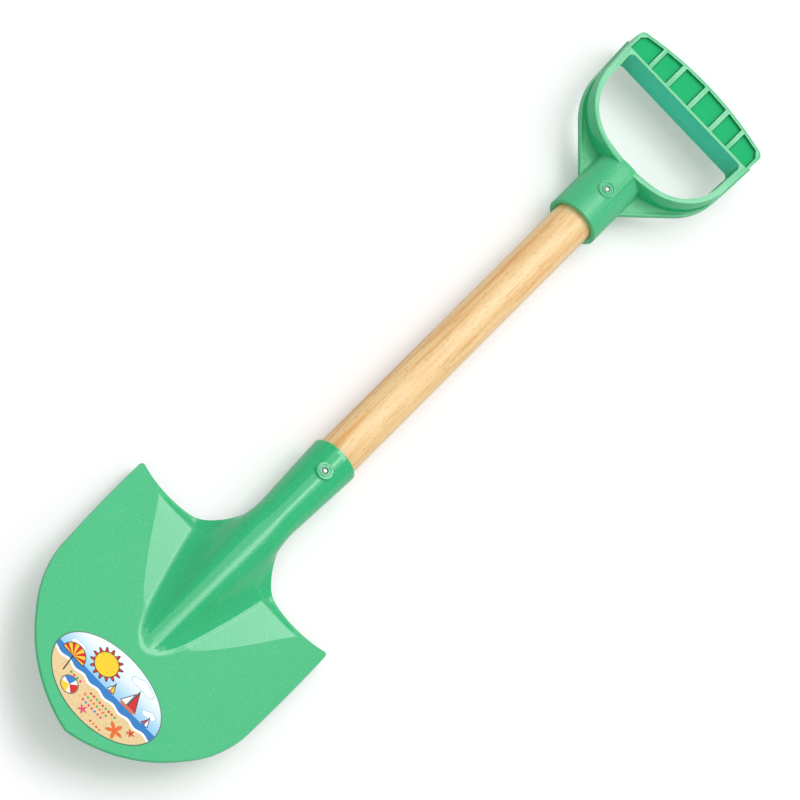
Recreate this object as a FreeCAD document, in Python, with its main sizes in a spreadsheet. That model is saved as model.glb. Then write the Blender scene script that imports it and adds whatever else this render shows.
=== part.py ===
import FreeCAD, Part
import math
import os
import Sketcher

# Sand shovel, lying on its back. While it is drawn, X runs along the shaft's axis towards
# the handle, Z is the front of the shovel and the axis is at zero height. Lengths in mm.

SIZES = (
    # Frame: how far the drawn shape is moved to stand over the origin, on the floor.
    ("origin_shift", 4.96),
    ("axis_height", 16.45),
    # Dowel, and how loosely it sits in its two sockets.
    ("dowel_diameter", 25.4),
    ("dowel_end_diameter", 20.6),
    ("dowel_bare_length", 217.8),
    ("dowel_chamfer", 0.8),
    ("dowel_end_gap", 1.0),
    ("socket_clearance", 0.15),
    # Nails, round heads flush with the bosses.
    ("nail_shank_diameter", 1.9),
    ("nail_head_diameter", 3.6),
    ("nail_head_height", 0.8),
    ("nail_length", 15.0),
    ("nail_point_length", 2.6),
    ("nail_clearance", 0.06),
    ("nail_hole_spare", 0.6),
    ("boss_diameter", 10.0),
    ("boss_root", 2.0),
    # Socket of the handle. Places along the handle are measured from the socket's mouth.
    ("handle_socket_diameter", 32.9),
    ("handle_socket_length", 47.6),
    ("handle_bore_depth", 39.7),
    ("handle_mouth_chamfer", 0.8),
    ("handle_boss_inset", 22.3),
    ("handle_boss_top", 17.4),
    # Gusset plate with a raised edge.
    ("gusset_thickness", 2.6),
    ("gusset_foot_x", 16.7),
    ("gusset_foot_y", 9.03),
    ("gusset_corner_x", 50.7),
    ("gusset_corner_y", 39.5),
    ("gusset_bend_radius", 44.8),
    ("gusset_arm_x", 78.7),
    ("gusset_arm_y", 51.0),
    ("gusset_end_x", 110.7),
    ("gusset_end_y", 52.4),
    ("bead_width", 1.2),
    ("bead_height", 0.7),
    ("bead_step_x_share", 0.668),
    ("bead_step_y_share", 0.744),
    # Strap and grip, outline at their front.
    ("strap_front", 15.5),
    ("strap_back", 4.2),
    ("strap_draft", 2.5),
    ("strap_foot_x", 44.02),
    ("strap_foot_y", 20.03),
    ("strap_foot_radius", 76.7),
    ("strap_turn_x", 80.45),
    ("strap_turn_y", 49.46),
    ("strap_turn_radius", 39.8),
    ("grip_arm_x", 111.9),
    ("grip_arm_y", 51.0),
    ("grip_corner_radius", 4.73),
    ("grip_crown_x", 115.85),
    ("grip_crown_y", 46.4),
    ("grip_crown_radius", 204.0),
    # Hand opening, outline at the middle plane.
    ("opening_reach", 20.0),
    ("opening_draft", 1.5),
    ("opening_foot_x", 47.04),
    ("opening_foot_y", 18.2),
    ("opening_foot_radius", 90.34),
    ("opening_turn_x", 77.02),
    ("opening_turn_y", 44.85),
    ("opening_turn_radius", 32.72),
    ("opening_arm_x", 95.7),
    ("opening_arm_y", 45.75),
    ("opening_corner_radius", 2.9),
    ("opening_top_x", 98.79),
    ("opening_top_y", 42.9),
    # Shallow pockets in the front of the grip, three on each side of the middle.
    ("pocket_depth", 2.0),
    ("pocket_foot_x", 101.0),
    ("pocket_crown_x", 119.4),
    ("pocket_crown_radius", 202.2),
    ("pocket_inner_from_y", 1.5),
    ("pocket_inner_to_y", 16.6),
    ("pocket_middle_from_y", 19.6),
    ("pocket_middle_to_y", 31.4),
    ("pocket_outer_from_y", 34.2),
    ("pocket_outer_to_y", 48.8),
    ("pocket_corner_cut", 3.0),
    # Socket of the blade.
    ("blade_mouth_x", -56.5),
    ("blade_mouth_radius", 15.05),
    ("blade_neck_x", -111.4),
    ("blade_neck_radius", 12.63),
    ("blade_tube_end_x", -119.0),
    ("blade_tube_end_radius", 11.2),
    ("blade_bore_end_x", -116.0),
    ("blade_boss_inset", 15.7),
    ("blade_boss_top", 15.3),
    # Outline of the blade seen from the front.
    ("plan_reach", 40.0),
    ("plan_neck_x", -107.0),
    ("plan_neck_y", 12.6),
    ("plan_flare_x", -112.5),
    ("plan_flare_y", 12.75),
    ("plan_flare_radius", 33.25),
    ("plan_step_x", -138.2),
    ("plan_step_y", 34.8),
    ("plan_step_radius", 83.0),
    ("plan_shoulder_x", -139.4),
    ("plan_shoulder_y", 73.0),
    ("plan_shoulder_radius", 1.6),
    ("plan_side_x", -141.1),
    ("plan_side_y", 74.65),
    ("plan_side_radius", 1230.0),
    ("plan_bend_x", -211.9),
    ("plan_bend_y", 73.3),
    ("plan_bend_radius", 72.0),
    ("plan_nose_x", -253.4),
    ("plan_nose_y", 57.7),
    ("plan_nose_radius", 96.5),
    ("plan_point_x", -292.6),
    ("plan_point_y", 1.2),
    ("plan_point_radius", 1.4),
    # Dished blade and its hump. Levels are heights below the axis.
    ("blade_wall", 2.2),
    ("blade_heel_x", -142.0),
    ("blade_heel_level", 14.2),
    ("blade_throat_x", -110.0),
    ("blade_throat_level", 6.0),
    ("blade_end_x", -300.0),
    ("blade_half_span", 80.0),
    ("blade_lift_angle", 8.0),
    ("dish_length_radius", 1400.0),
    ("dish_cross_radius", 350.0),
    ("hump_crest", 12.45),
    ("hump_tip_x", -218.0),
    ("hump_spread", 13.0),
    ("hump_edge_lip", 0.4),
    ("hump_least_width", 8.0),
    ("hump_bell_x", -150.0),
    ("hump_round_power", 2.2),
    # Oval label on the blade.
    ("sticker_x", -256.0),
    ("sticker_length", 51.4),
    ("sticker_width", 75.2),
    ("sticker_gap", 0.03),
    ("sticker_thickness", 0.17),
)

# Rows and columns of the blade's surfaces.
NECK_ROWS = 10
BLADE_ROWS = 27
HUMP_COLUMNS = 10
WING_COLUMNS = 7
HUMP_COLUMN_SHARE = 0.6
SLOPE_STEP_SHARE = 0.0001
SURFACE_DEGREE = 3

os.makedirs("parts", exist_ok=True)
document = FreeCAD.newDocument("sand_shovel")
sheet = document.addObject("Spreadsheet::Sheet", "Sizes")
for row, (name, value) in enumerate(SIZES, start=1):
    sheet.set(f"A{row}", name)
    sheet.set(f"B{row}", str(value))
    sheet.setAlias(f"B{row}", name)
document.recompute()


def size(name):
    return float(sheet.get(name))


def worth(formula):
    return float(sheet.evalExpression(formula))


def bind(thing, **formulas):
    for name, formula in formulas.items():
        thing.setExpression(name.replace("__", "."), formula)


def place(thing, x="0", z="0"):
    thing.setExpression(".Placement.Base.x", f"Sizes.origin_shift + {x}")
    thing.setExpression(".Placement.Base.z", f"Sizes.axis_height + {z}")


def new_body(label):
    body = document.addObject("PartDesign::Body", label)
    body.Label = label
    return body


def new_sketch(body, role, label, offset="0"):
    sketch = body.newObject("Sketcher::SketchObject", label)
    planes = [plane for plane in body.Origin.OriginFeatures if plane.Role == role]
    sketch.AttachmentSupport = (planes[0], [""])
    sketch.MapMode = "FlatFace"
    sketch.setExpression(".AttachmentOffset.Base.z", offset)
    return sketch


def hold(sketch, constraint, formula):
    number = sketch.addConstraint(constraint)
    sketch.setExpression(f"Constraints[{number}]", formula)


def circle(sketch, diameter, x=None):
    centre = FreeCAD.Vector(worth(x) if x else 0, 0, 0)
    radius = size(diameter) / 2
    edge = sketch.addGeometry(Part.Circle(centre, FreeCAD.Vector(0, 0, 1), radius))
    formula = f"Sizes.{diameter}"
    hold(sketch, Sketcher.Constraint("Diameter", edge, radius * 2), formula)
    if x:
        sketch.addConstraint(Sketcher.Constraint("PointOnObject", edge, 3, -1))
        hold(sketch, Sketcher.Constraint("DistanceX", edge, 3, centre.x), x)
    else:
        sketch.addConstraint(Sketcher.Constraint("Coincident", edge, 3, -1, 1))
    return edge


def corner(name, side=1, bend=None):
    """An outline's corner from the sheet, on one side of the middle line; bend is the
    radius of the edge that follows it and the side that it turns to."""
    across = f"Sizes.{name}_y"
    return {
        "x": f"Sizes.{name}_x",
        "y": across if side > 0 else f"-{across}",
        "start": FreeCAD.Vector(size(f"{name}_x"), size(f"{name}_y") * side, 0),
        "bend": bend,
    }


def point(x, y, start_x, start_y, bend=None):
    return {"x": x, "y": y, "start": FreeCAD.Vector(start_x, start_y, 0), "bend": bend}


def bend_edge(start, end, radius, turn):
    chord = end.sub(start)
    half = chord.Length / 2
    across = FreeCAD.Vector(-chord.y, chord.x, 0)
    across.normalize()
    rise = math.sqrt(max(radius * radius - half * half, 0)) * turn
    centre = start.add(end).multiply(1 / 2).add(across.multiply(rise))
    first, last = (start, end) if turn > 0 else (end, start)
    from_angle = math.atan2(first.y - centre.y, first.x - centre.x)
    to_angle = math.atan2(last.y - centre.y, last.x - centre.x)
    if to_angle < from_angle:
        to_angle += math.tau
    ring = Part.Circle(centre, FreeCAD.Vector(0, 0, 1), radius)
    return Part.ArcOfCircle(ring, from_angle, to_angle)


def loop(sketch, corners):
    """One closed outline of lines and bends, every corner and radius held to the sheet."""
    edges = []
    for here, there in zip(corners, corners[1:] + corners[:1]):
        if here["bend"]:
            radius, turn = here["bend"]
            arc = bend_edge(here["start"], there["start"], size(radius), turn)
            edge = sketch.addGeometry(arc)
            edges.append((edge, 1, 2) if turn > 0 else (edge, 2, 1))
        else:
            edge = sketch.addGeometry(Part.LineSegment(here["start"], there["start"]))
            edges.append((edge, 1, 2))
    for number, here in enumerate(corners):
        edge, first, last = edges[number]
        before = edges[number - 1]
        sketch.addConstraint(Sketcher.Constraint("Coincident", before[0], before[2], edge, first))
        start = here["start"]
        hold(sketch, Sketcher.Constraint("DistanceX", edge, first, start.x), here["x"])
        hold(sketch, Sketcher.Constraint("DistanceY", edge, first, start.y), here["y"])
        if here["bend"]:
            radius = here["bend"][0]
            name = f"Sizes.{radius}"
            offset = here.get("radius_less")
            formula = f"{name} - {offset}" if offset else name
            hold(sketch, Sketcher.Constraint("Radius", edge, size(radius)), formula)


def mirrored(half, middle_bend=None):
    """Both halves of an outline about the middle line, from one side of it round to the
    other; middle_bend is the edge that closes the outline across it."""
    corners = [corner(name, 1, bend) for name, bend in half]
    for number in reversed(range(len(half))):
        bend = half[number - 1][1] if number else middle_bend
        corners.append(corner(half[number][0], -1, bend))
    return corners


def pad(body, sketch, label, **formulas):
    feature = body.newObject("PartDesign::Pad", label)
    feature.Profile = sketch
    bind(feature, **formulas)
    return feature


def pocket(body, sketch, label, **formulas):
    feature = body.newObject("PartDesign::Pocket", label)
    feature.Profile = sketch
    bind(feature, **formulas)
    return feature


def revolve(body, sketch, label, axis):
    feature = body.newObject("PartDesign::Revolution", label)
    feature.Profile = sketch
    feature.ReferenceAxis = (sketch, [axis])
    feature.Angle = 360
    return feature


# Dowel: straight, turned to a taper where it enters the blade's socket.
shaft = new_body("shaft")
profile = new_sketch(shaft, "XZ_Plane", "shaft_profile")
half_end = "Sizes.dowel_end_diameter / 2"
half_dowel = "Sizes.dowel_diameter / 2"
end_radius = size("dowel_end_diameter") / 2
dowel_radius = size("dowel_diameter") / 2
gap = size("dowel_end_gap")
blade_end = size("blade_bore_end_x") + gap
handle_mouth = "Sizes.blade_mouth_x + Sizes.dowel_bare_length"
handle_end = worth(handle_mouth) + size("handle_bore_depth") - gap
blade_end_x = "Sizes.blade_bore_end_x + Sizes.dowel_end_gap"
handle_end_x = f"{handle_mouth} + Sizes.handle_bore_depth - Sizes.dowel_end_gap"
trim = size("dowel_chamfer")
loop(
    profile,
    [
        point(blade_end_x, "0", blade_end, 0),
        point(handle_end_x, "0", handle_end, 0),
        point(
            handle_end_x,
            f"{half_dowel} - Sizes.dowel_chamfer",
            handle_end,
            dowel_radius - trim,
        ),
        point(
            f"{handle_end_x} - Sizes.dowel_chamfer",
            half_dowel,
            handle_end - trim,
            dowel_radius,
        ),
        point("Sizes.blade_mouth_x", half_dowel, size("blade_mouth_x"), dowel_radius),
        point(blade_end_x, half_end, blade_end, end_radius),
    ],
)
revolve(shaft, profile, "shaft_turned", "H_Axis")
nail_places = {
    "blade": "Sizes.blade_mouth_x - Sizes.blade_boss_inset",
    "handle": f"{handle_mouth} + Sizes.handle_boss_inset",
}
for end, nail_x in nail_places.items():
    sketch = new_sketch(shaft, "XY_Plane", f"shaft_{end}_hole_place", half_dowel)
    circle(sketch, "nail_shank_diameter", nail_x)
    sketch.setExpression(
        "Constraints[0]", "Sizes.nail_shank_diameter + 2 * Sizes.nail_clearance"
    )
    pocket(
        shaft,
        sketch,
        f"shaft_{end}_hole",
        Length=f"{half_dowel} + Sizes.nail_hole_spare + Sizes.nail_length - Sizes.{end}_boss_top",
    )
place(shaft)

# Handle: gusset plate, deep strap around the hand opening, closed grip, round socket.
handle = new_body("d_handle")
sketch = new_sketch(handle, "XY_Plane", "gusset_outline")
loop(
    sketch,
    mirrored(
        [
            ("gusset_foot", None),
            ("gusset_corner", ("gusset_bend_radius", -1)),
            ("gusset_arm", None),
            ("gusset_end", None),
        ]
    ),
)
plate = pad(handle, sketch, "gusset_plate", Length="Sizes.gusset_thickness")
plate.SideType = "Symmetric"

sketch = new_sketch(handle, "XY_Plane", "gusset_bead_outline")
step_x = "Sizes.bead_width * Sizes.bead_step_x_share"
step_y = "Sizes.bead_width * Sizes.bead_step_y_share"
for side in (1, -1):
    outer = [
        corner("gusset_foot", side),
        corner("gusset_corner", side, ("gusset_bend_radius", -side)),
        corner("gusset_arm", side),
        corner("gusset_end", side),
    ]
    inner = [
        corner("gusset_end", side),
        corner("gusset_arm", side, ("gusset_bend_radius", side)),
        corner("gusset_corner", side),
        corner("gusset_foot", side),
    ]
    sign = "-" if side > 0 else "+"
    for number, joint in enumerate(inner):
        slanted = number > 1
        joint["x"] += f" + {step_x}" if slanted else ""
        joint["y"] += f" {sign} {step_y if slanted else 'Sizes.bead_width'}"
        joint["radius_less"] = "Sizes.bead_width"
        joint["start"] = joint["start"].add(FreeCAD.Vector(0, -size("bead_width") * side, 0))
    loop(sketch, outer + inner)
bead = pad(
    handle,
    sketch,
    "gusset_bead",
    Length="Sizes.gusset_thickness + 2 * Sizes.bead_height",
)
bead.SideType = "Symmetric"

sketch = new_sketch(handle, "XY_Plane", "strap_outline", "Sizes.strap_front")
corners = mirrored(
    [
        ("strap_foot", ("strap_turn_radius", -1)),
        ("strap_turn", None),
        ("grip_arm", ("grip_corner_radius", -1)),
        ("grip_crown", ("grip_crown_radius", -1)),
    ],
    ("strap_foot_radius", -1),
)
loop(sketch, corners)
block = pad(
    handle,
    sketch,
    "strap_block",
    Length="Sizes.strap_front + Sizes.strap_back",
    TaperAngle="Sizes.strap_draft",
)
block.Reversed = True

sketch = new_sketch(handle, "YZ_Plane", "handle_socket_round")
circle(sketch, "handle_socket_diameter")
pad(handle, sketch, "handle_socket", Length="Sizes.handle_socket_length")

boss_bottom = "Sizes.handle_socket_diameter / 2 - Sizes.boss_root"
sketch = new_sketch(handle, "XY_Plane", "handle_boss_round", boss_bottom)
circle(sketch, "boss_diameter", "Sizes.handle_boss_inset")
pad(handle, sketch, "handle_boss", Length=f"Sizes.handle_boss_top - ({boss_bottom})")

sketch = new_sketch(handle, "XY_Plane", "opening_outline")
corners = mirrored(
    [
        ("opening_foot", ("opening_turn_radius", -1)),
        ("opening_turn", None),
        ("opening_arm", ("opening_corner_radius", -1)),
        ("opening_top", None),
    ],
    ("opening_foot_radius", -1),
)
loop(sketch, corners)
opening = pocket(
    handle,
    sketch,
    "hand_opening",
    Length="Sizes.opening_reach",
    Length2="Sizes.opening_reach",
    TaperAngle="Sizes.opening_draft",
    TaperAngle2="Sizes.opening_draft",
)
opening.SideType = "Two sides"

sketch = new_sketch(handle, "XY_Plane", "grip_pocket_outlines", "Sizes.strap_front")
crown = size("pocket_crown_x")
foot = size("pocket_foot_x")
for side in (1, -1):
    sign = "" if side > 0 else "-"
    for name in ("inner", "middle", "outer"):
        near = f"Sizes.pocket_{name}_from_y"
        far = f"Sizes.pocket_{name}_to_y"
        near_start = size(f"pocket_{name}_from_y")
        far_start = size(f"pocket_{name}_to_y")
        fall = " * {0} / (2 * Sizes.pocket_crown_radius)"
        top = "Sizes.pocket_crown_x - {0}" + fall
        corners = [
            point("Sizes.pocket_foot_x", f"{sign}{near}", foot, near_start * side),
            point(top.format(near), f"{sign}{near}", crown, near_start * side),
        ]
        if name == "outer":
            cut = size("pocket_corner_cut")
            inside = f"({far} - Sizes.pocket_corner_cut)"
            corners += [
                point(top.format(inside), f"{sign}{inside}", crown, (far_start - cut) * side),
                point(
                    f"{top.format(far)} - Sizes.pocket_corner_cut",
                    f"{sign}{far}",
                    crown - cut,
                    far_start * side,
                ),
            ]
        else:
            corners.append(point(top.format(far), f"{sign}{far}", crown, far_start * side))
        corners.append(point("Sizes.pocket_foot_x", f"{sign}{far}", foot, far_start * side))
        loop(sketch, corners)
pocket(handle, sketch, "grip_pockets", Length="Sizes.pocket_depth")


sketch = new_sketch(handle, "YZ_Plane", "handle_bore_round")
circle(sketch, "dowel_diameter")
sketch.setExpression("Constraints[0]", "Sizes.dowel_diameter + 2 * Sizes.socket_clearance")
bore = pocket(handle, sketch, "handle_bore", Length="Sizes.handle_bore_depth")
bore.Reversed = True

sketch = new_sketch(handle, "XY_Plane", "handle_nail_place", "Sizes.handle_boss_top")
circle(sketch, "nail_shank_diameter", "Sizes.handle_boss_inset")
sketch.setExpression("Constraints[0]", "Sizes.nail_shank_diameter + 2 * Sizes.nail_clearance")
pocket(handle, sketch, "handle_nail_hole", Length=f"Sizes.handle_boss_top - {half_dowel}")
sketch = new_sketch(handle, "XY_Plane", "handle_nail_seat_place", "Sizes.handle_boss_top")
circle(sketch, "nail_head_diameter", "Sizes.handle_boss_inset")
sketch.setExpression("Constraints[0]", "Sizes.nail_head_diameter + 2 * Sizes.nail_clearance")
pocket(
    handle,
    sketch,
    "handle_nail_seat",
    Length="Sizes.nail_head_height + Sizes.nail_clearance",
)
document.recompute()


def edges_where(shape, wanted):
    return [f"Edge{n}" for n, edge in enumerate(shape.Edges, start=1) if wanted(edge)]


def at_mouth(edge):
    box = edge.BoundBox
    flat = max(abs(box.XMin), abs(box.XMax)) < size("socket_clearance")
    bore_width = size("dowel_diameter") + size("socket_clearance") * 2
    return flat and abs(box.YLength - bore_width) < size("socket_clearance")


bored = handle.Tip
lead_in = handle.newObject("PartDesign::Chamfer", "handle_mouth_lead_in")
lead_in.Base = (bored, edges_where(bored.Shape, at_mouth))
bind(lead_in, Size="Sizes.handle_mouth_chamfer")
document.recompute()
place(handle, handle_mouth)


# Nails: turned, with a flat round head and a point.
def nail(end):
    label = f"{end}_nail"
    body = new_body(label)
    sketch = new_sketch(body, "XZ_Plane", f"{label}_profile")
    head = "Sizes.nail_head_diameter / 2"
    shank = "Sizes.nail_shank_diameter / 2"
    head_start = size("nail_head_diameter") / 2
    shank_start = size("nail_shank_diameter") / 2
    under = -size("nail_head_height")
    tip = -size("nail_length")
    point_top = tip + size("nail_point_length")
    loop(
        sketch,
        [
            point("0", "0", 0, 0),
            point("0", "-Sizes.nail_length", 0, tip),
            point(shank, "Sizes.nail_point_length - Sizes.nail_length", shank_start, point_top),
            point(shank, "-Sizes.nail_head_height", shank_start, under),
            point(head, "-Sizes.nail_head_height", head_start, under),
            point(head, "0", head_start, 0),
        ],
    )
    revolve(body, sketch, f"{label}_turned", "V_Axis")
    place(body, nail_places[end], f"Sizes.{end}_boss_top")
    return body


nails = [nail(end) for end in nail_places]


# Blade: a dished sheet with a hump that opens out of the round neck and dies out in a
# parabola. Front and back are one grid of points, moved along its normals.
def ease(share):
    share = min(max(share, 0), 1)
    return (1 - math.cos(math.pi * share)) / 2


def sheet_level(x, y):
    heel = size("blade_heel_x")
    throat = size("blade_throat_x")
    run = max(heel - x, 0)
    sweep = ease((throat - x) / (throat - heel))
    fall = size("blade_heel_level") - size("blade_throat_level")
    level = -size("blade_throat_level") - fall * sweep
    level += run * math.tan(math.radians(size("blade_lift_angle")))
    level += run * run / (size("dish_length_radius") * 2)
    return level + y * y / (size("dish_cross_radius") * 2)


def flare(x):
    radius = size("plan_flare_radius")
    start = FreeCAD.Vector(size("plan_flare_x"), size("plan_flare_y"), 0)
    end = FreeCAD.Vector(size("plan_step_x"), size("plan_step_y"), 0)
    centre = bend_edge(start, end, radius, -1).Center
    reach = min(max(abs(x - centre.x), 0), radius)
    return centre.y - math.sqrt(radius * radius - reach * reach) - size("hump_edge_lip")


def hump_half_width(x, least=0):
    run = max(x - size("hump_tip_x"), 0)
    free = math.sqrt(size("hump_spread") * run + least * least)
    return min(free, flare(x)) if x > size("plan_step_x") else free


def hump_rise(x, y):
    tip = size("hump_tip_x")
    neck = size("blade_throat_x")
    half = hump_half_width(x)
    if x <= tip or abs(y) >= half:
        return 0
    tip_level = sheet_level(tip, 0)
    share = (x - tip) / (neck - tip)
    crest = tip_level + (size("hump_crest") - tip_level) * share
    power = size("hump_round_power")
    across = abs(y) / half
    round_top = math.pow(1 - math.pow(across, power), 1 / power)
    bell = (1 + math.cos(math.pi * across)) / 2
    mix = ease((neck - x) / (neck - size("hump_bell_x")))
    return (crest - sheet_level(x, 0)) * (round_top * (1 - mix) + bell * mix)


def surface_point(x, share):
    """A point of the blade's front; share runs from -1 to 1 across it."""
    side = math.copysign(1, share)
    half = hump_half_width(x, size("hump_least_width"))
    over = abs(share) / HUMP_COLUMN_SHARE
    if over < 1:
        power = 2 / size("hump_round_power")
        y = half * math.pow(math.sin(over * math.pi / 2), power)
    else:
        wing = (abs(share) - HUMP_COLUMN_SHARE) / (1 - HUMP_COLUMN_SHARE)
        y = half + (size("blade_half_span") - half) * wing
    return FreeCAD.Vector(x, y * side, sheet_level(x, y) + hump_rise(x, y))


def surface_normal(x, share):
    step = SLOPE_STEP_SHARE
    step_x = step * size("blade_half_span")
    ahead = surface_point(x + step_x, share).sub(surface_point(x - step_x, share))
    low = max(share - step, -1)
    high = min(share + step, 1)
    across = surface_point(x, high).sub(surface_point(x, low))
    normal = ahead.cross(across)
    normal.normalize()
    return normal


def row_stations():
    neck = size("blade_throat_x")
    heel = size("blade_heel_x")
    end = size("blade_end_x")
    rows = [neck + (heel - neck) * n / NECK_ROWS for n in range(NECK_ROWS)]
    rows += [heel + (end - heel) * n / BLADE_ROWS for n in range(BLADE_ROWS + 1)]
    return rows


def column_shares():
    inner = [HUMP_COLUMN_SHARE * n / HUMP_COLUMNS for n in range(1, HUMP_COLUMNS)]
    wing = 1 - HUMP_COLUMN_SHARE
    outer = [HUMP_COLUMN_SHARE + wing * n / WING_COLUMNS for n in range(WING_COLUMNS + 1)]
    half = inner + outer
    return [-share for share in reversed(half)] + [0] + half


def knots(count):
    inner = count - SURFACE_DEGREE - 1
    values = list(range(inner + 2))
    times = [SURFACE_DEGREE + 1] + [1] * inner + [SURFACE_DEGREE + 1]
    return values, times


def moved_surface(distance):
    rows = row_stations()
    columns = column_shares()
    grid = []
    for x in rows:
        line = []
        for share in columns:
            normal = surface_normal(x, share).multiply(distance)
            line.append(surface_point(x, share).add(normal))
        grid.append(line)
    row_knots, row_times = knots(len(rows))
    column_knots, column_times = knots(len(columns))
    surface = Part.BSplineSurface()
    surface.buildFromPolesMultsKnots(
        grid,
        row_times,
        column_times,
        row_knots,
        column_knots,
        False,
        False,
        SURFACE_DEGREE,
        SURFACE_DEGREE,
    )
    return surface


def skin_solid(low, high):
    """The solid between the blade's front moved by two distances."""
    under = moved_surface(low)
    over = moved_surface(high)
    faces = [under.toShape(), over.toShape()]
    first_u, last_u, first_v, last_v = under.bounds()
    for level in (first_u, last_u):
        rails = [surface.uIso(level).toShape() for surface in (under, over)]
        faces.append(Part.makeRuledSurface(rails[0], rails[1]))
    for level in (first_v, last_v):
        rails = [surface.vIso(level).toShape() for surface in (under, over)]
        faces.append(Part.makeRuledSurface(rails[0], rails[1]))
    shell = Part.makeShell(faces)
    shell.sewShape()
    solid = Part.makeSolid(shell)
    if solid.Volume < 0:
        solid.reverse()
    return solid


blade_skin = document.addObject("Part::Feature", "blade_skin")
blade_skin.Shape = skin_solid(-size("blade_wall"), 0)

plan = new_body("blade_plan")
sketch = new_sketch(plan, "XY_Plane", "blade_outline")
corners = mirrored(
    [
        ("plan_neck", None),
        ("plan_flare", ("plan_flare_radius", -1)),
        ("plan_step", ("plan_step_radius", -1)),
        ("plan_shoulder", ("plan_shoulder_radius", 1)),
        ("plan_side", ("plan_side_radius", 1)),
        ("plan_bend", ("plan_bend_radius", 1)),
        ("plan_nose", ("plan_nose_radius", 1)),
        ("plan_point", ("plan_point_radius", 1)),
    ]
)
loop(sketch, corners)
prism = pad(plan, sketch, "blade_prism", Length="2 * Sizes.plan_reach")
prism.SideType = "Symmetric"
document.recompute()

trimmed = document.addObject("Part::MultiCommon", "blade_trimmed")
trimmed.Shapes = [blade_skin, plan]

tube = new_body("blade_tube")
sketch = new_sketch(tube, "XZ_Plane", "blade_tube_profile")
tube_end = size("blade_tube_end_x")
mouth = size("blade_mouth_x")
loop(
    sketch,
    [
        point("Sizes.blade_tube_end_x", "0", tube_end, 0),
        point("Sizes.blade_mouth_x", "0", mouth, 0),
        point("Sizes.blade_mouth_x", "Sizes.blade_mouth_radius", mouth, size("blade_mouth_radius")),
        point(
            "Sizes.blade_neck_x",
            "Sizes.blade_neck_radius",
            size("blade_neck_x"),
            size("blade_neck_radius"),
        ),
        point(
            "Sizes.blade_tube_end_x",
            "Sizes.blade_tube_end_radius",
            tube_end,
            size("blade_tube_end_radius"),
        ),
    ],
)
revolve(tube, sketch, "blade_tube_turned", "H_Axis")


def cylinder(label, radius, height, x, z):
    solid = document.addObject("Part::Cylinder", label)
    bind(solid, Radius=radius, Height=height)
    solid.setExpression(".Placement.Base.x", x)
    solid.setExpression(".Placement.Base.z", z)
    return solid


boss_low = "Sizes.blade_boss_top - 2 * Sizes.boss_root"
boss = cylinder(
    "blade_boss",
    "Sizes.boss_diameter / 2",
    "2 * Sizes.boss_root",
    nail_places["blade"],
    boss_low,
)
whole = document.addObject("Part::MultiFuse", "blade_whole")
whole.Shapes = [trimmed, tube, boss]

bore = document.addObject("Part::Cone", "blade_bore")
bind(
    bore,
    Radius1=f"{half_end} + Sizes.socket_clearance",
    Radius2=f"{half_dowel} + Sizes.socket_clearance",
    Height="Sizes.blade_mouth_x - Sizes.blade_bore_end_x",
)
bore.Placement.Rotation = FreeCAD.Rotation(FreeCAD.Vector(0, 0, 1), FreeCAD.Vector(1, 0, 0))
bore.setExpression(".Placement.Base.x", "Sizes.blade_bore_end_x")
hole = cylinder(
    "blade_nail_hole",
    "Sizes.nail_shank_diameter / 2 + Sizes.nail_clearance",
    "Sizes.nail_length",
    nail_places["blade"],
    "Sizes.blade_boss_top - Sizes.boss_root * 2",
)
seat = cylinder(
    "blade_nail_seat",
    "Sizes.nail_head_diameter / 2 + Sizes.nail_clearance",
    "Sizes.boss_root",
    nail_places["blade"],
    "Sizes.blade_boss_top - Sizes.nail_head_height - Sizes.nail_clearance",
)
holes = document.addObject("Part::MultiFuse", "blade_holes")
holes.Shapes = [bore, hole, seat]
blade = document.addObject("Part::Cut", "blade")
blade.Base = whole
blade.Tool = holes
place(blade)

# Label: an oval cut out of a thin skin over the blade's front.
label_skin = document.addObject("Part::Feature", "sticker_skin")
gap = size("sticker_gap")
label_skin.Shape = skin_solid(gap, gap + size("sticker_thickness"))
oval = document.addObject("Part::Ellipse", "sticker_oval")
bind(oval, MajorRadius="Sizes.sticker_width / 2", MinorRadius="Sizes.sticker_length / 2")
oval.Placement.Rotation = FreeCAD.Rotation(FreeCAD.Vector(0, 0, 1), 90)
oval.setExpression(".Placement.Base.x", "Sizes.sticker_x")
column = document.addObject("Part::Extrusion", "sticker_column")
column.Base = oval
column.Dir = FreeCAD.Vector(0, 0, 1)
column.Solid = True
bind(column, LengthFwd="Sizes.plan_reach", LengthRev="Sizes.plan_reach")
sticker = document.addObject("Part::MultiCommon", "sticker")
sticker.Shapes = [label_skin, column]
place(sticker)
document.recompute()

nodes = [blade, shaft, handle, sticker] + nails
for thing in document.Objects:
    if "Invalid" in thing.State or "Error" in thing.State:
        raise RuntimeError(f"{thing.Label} is not built: {thing.State}")
    shape = getattr(thing, "Shape", None)
    if shape is not None and (shape.isNull() or not shape.isValid()):
        raise RuntimeError(f"{thing.Label} has no sound shape")
for node in nodes:
    node.Shape.exportStep(f"parts/{node.Label}.step")
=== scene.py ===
import functools
import math

import bpy
from mathutils import Matrix, Vector


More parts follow.
